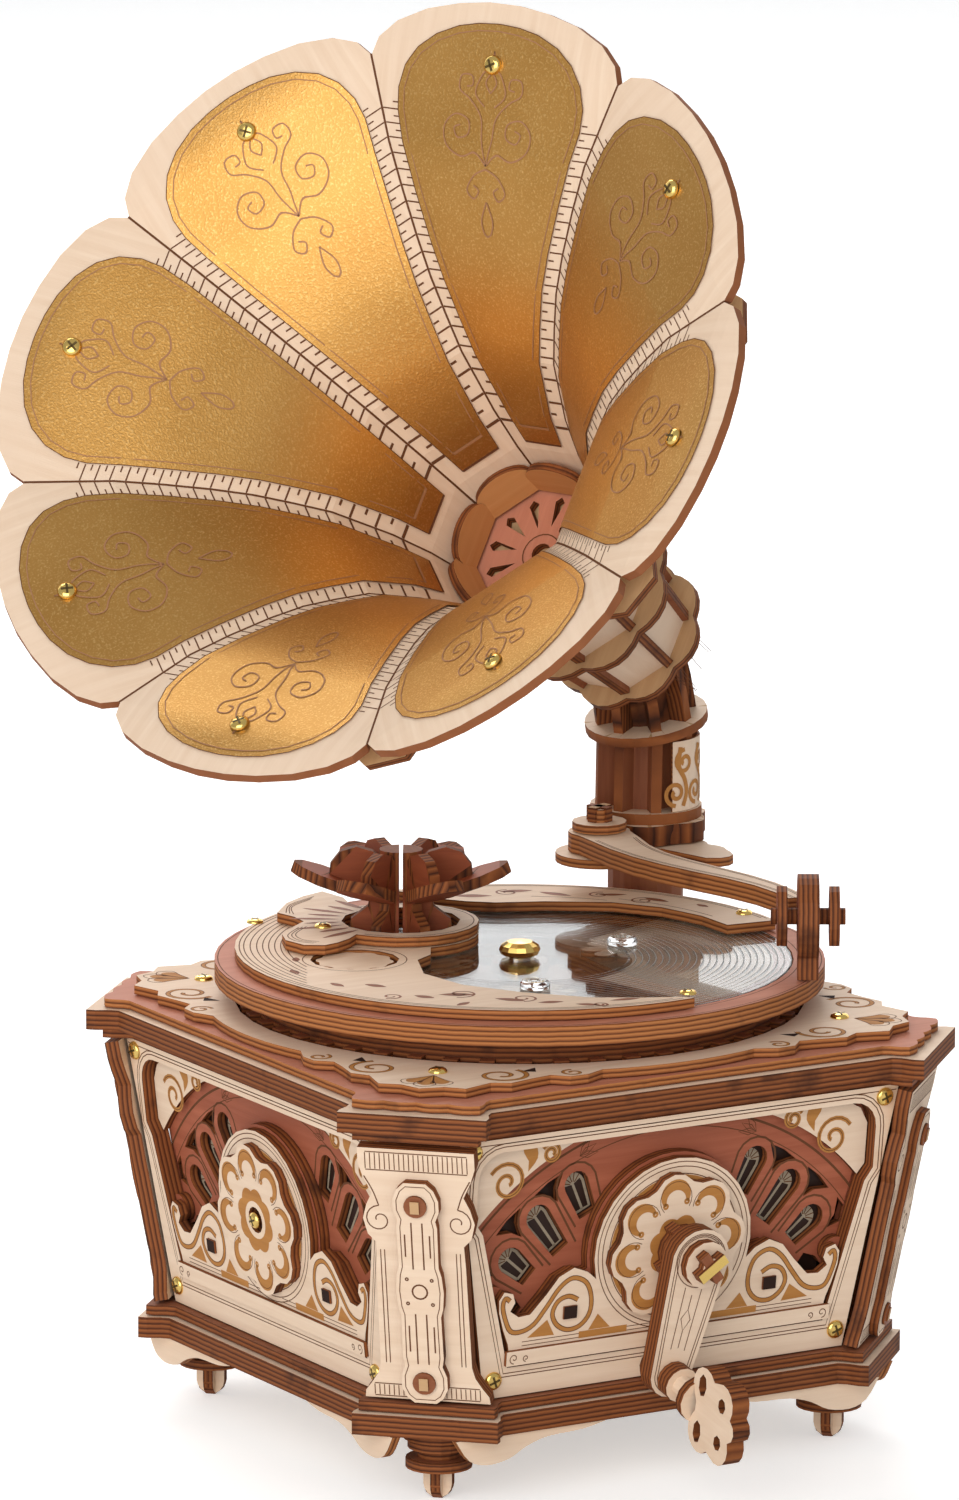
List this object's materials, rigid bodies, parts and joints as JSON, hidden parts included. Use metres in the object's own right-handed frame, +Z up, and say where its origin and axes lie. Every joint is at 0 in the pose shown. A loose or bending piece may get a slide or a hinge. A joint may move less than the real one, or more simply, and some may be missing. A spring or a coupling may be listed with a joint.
{
  "type": "gramophone music box",
  "caption": "Hand cranked wooden music box shaped as a gramophone, with a horn, a turntable, a swinging tonearm and geared flower wheels.",
  "frame": {"origin": "middle of the part's outline on the floor plane under the feet", "axes": "+Z up, -Y out of the crank's face, +X to the right of the crank's face"},
  "size_m": [0.1636, 0.1748, 0.2837],
  "materials": {
    "pale_ply": "bare birch plywood",
    "cream_ply": "bare plywood with engraved lines",
    "copper_ply": "red brown stained plywood",
    "burnt_ply": "dark laser cut plywood",
    "gold_card": "cream plywood with a gold card inlay",
    "brass": "polished",
    "steel": "satin",
    "clear_acrylic": "clear polished acrylic"
  },
  "bodies": {
    "case": {"plinth_plate": "pale_ply", "cornice_plate": "pale_ply", "deck_ring": "pale_ply", "crescent_overlay": "pale_ply", "rear_arc_overlay": "pale_ply", "wing_overlay": "pale_ply", "tonearm_shelf": "pale_ply", "panel_frame_front": "pale_ply", "panel_frame_right": "pale_ply", "panel_frame_back": "pale_ply", "panel_frame_left": "pale_ply", "scroll_rail_front": "cream_ply", "scroll_rail_right": "cream_ply", "scroll_rail_back": "cream_ply", "scroll_rail_left": "cream_ply", "pilaster_front_left": "cream_ply", "pilaster_front_right": "cream_ply", "pilaster_back_right": "cream_ply", "pilaster_back_left": "cream_ply", "horn_neck": "cream_ply", "plinth_moulding": "copper_ply", "red_plate": "copper_ply", "throat_grille": "copper_ply", "arch_fret_front": "copper_ply", "arch_fret_right": "copper_ply", "arch_fret_back": "copper_ply", "arch_fret_left": "copper_ply", "foot_1": "burnt_ply", "foot_2": "burnt_ply", "foot_3": "burnt_ply", "foot_4": "burnt_ply", "record_post": "burnt_ply", "column_base": "burnt_ply", "column": "burnt_ply", "horn_ring": "burnt_ply", "horn_petal_1": "gold_card", "horn_petal_2": "gold_card", "horn_petal_3": "gold_card", "horn_petal_4": "gold_card", "horn_petal_5": "gold_card", "horn_petal_6": "gold_card", "horn_petal_7": "gold_card", "horn_petal_8": "gold_card", "centre_knob": "brass", "movement_bed": "steel", "record_disc": "clear_acrylic"},
    "turntable": {"turntable_rim": "copper_ply", "turntable_sleeve": "burnt_ply", "turntable_spider": "burnt_ply"},
    "flower": {"flower_half_a": "copper_ply", "flower_half_b": "copper_ply", "flower_gear": "burnt_ply"},
    "window_wheel": {"window_wheel": "pale_ply"},
    "crank": {"crank_shaft": "burnt_ply", "crank_arm": "cream_ply"},
    "grip": {"grip": "cream_ply"},
    "music_drum": {"music_drum": "brass"},
    "tonearm": {"tonearm": "pale_ply", "tonearm_head": "copper_ply", "tonearm_axle": "burnt_ply"}
  },
  "joints": [
    {"name": "turntable_spin", "type": "hinge", "parent": "case", "child": "turntable", "pos_m": [0.01045, 0.00543, 0.08786], "axis": [0, 0, 1], "continuous": true},
    {"name": "crank_spin", "type": "hinge", "parent": "case", "child": "crank", "pos_m": [0.01045, -0.05344, 0.04818], "axis": [0, -0.9935, -0.1141], "continuous": true},
    {"name": "grip_spin", "type": "hinge", "parent": "crank", "child": "grip", "pos_m": [0.00534, -0.06111, 0.0239], "axis": [0, -0.9761, -0.2173], "continuous": true},
    {"name": "flower_spin", "type": "hinge", "parent": "case", "child": "flower", "pos_m": [-0.00355, 0.02853, 0.09486], "axis": [0, 0, 1], "continuous": true},
    {"name": "window_wheel_spin", "type": "hinge", "parent": "case", "child": "window_wheel", "pos_m": [-0.02432, 0.01126, 0.09486], "axis": [0, 0, 1], "continuous": true},
    {"name": "music_drum_spin", "type": "hinge", "parent": "case", "child": "music_drum", "pos_m": [0.01045, -0.03507, 0.03686], "axis": [1, 0, 0], "continuous": true},
    {"name": "tonearm_swing", "type": "hinge", "parent": "case", "child": "tonearm", "pos_m": [0.05165, 0.04253, 0.10686], "axis": [0, 0, 1], "range_deg": [-18, 10]}
  ],
  "couplings": [
    {"joint": "crank_spin", "follows": "turntable_spin", "ratio": -3},
    {"joint": "flower_spin", "follows": "turntable_spin", "ratio": -1},
    {"joint": "window_wheel_spin", "follows": "turntable_spin", "ratio": 1},
    {"joint": "music_drum_spin", "follows": "turntable_spin", "ratio": -0.1875}
  ]
}
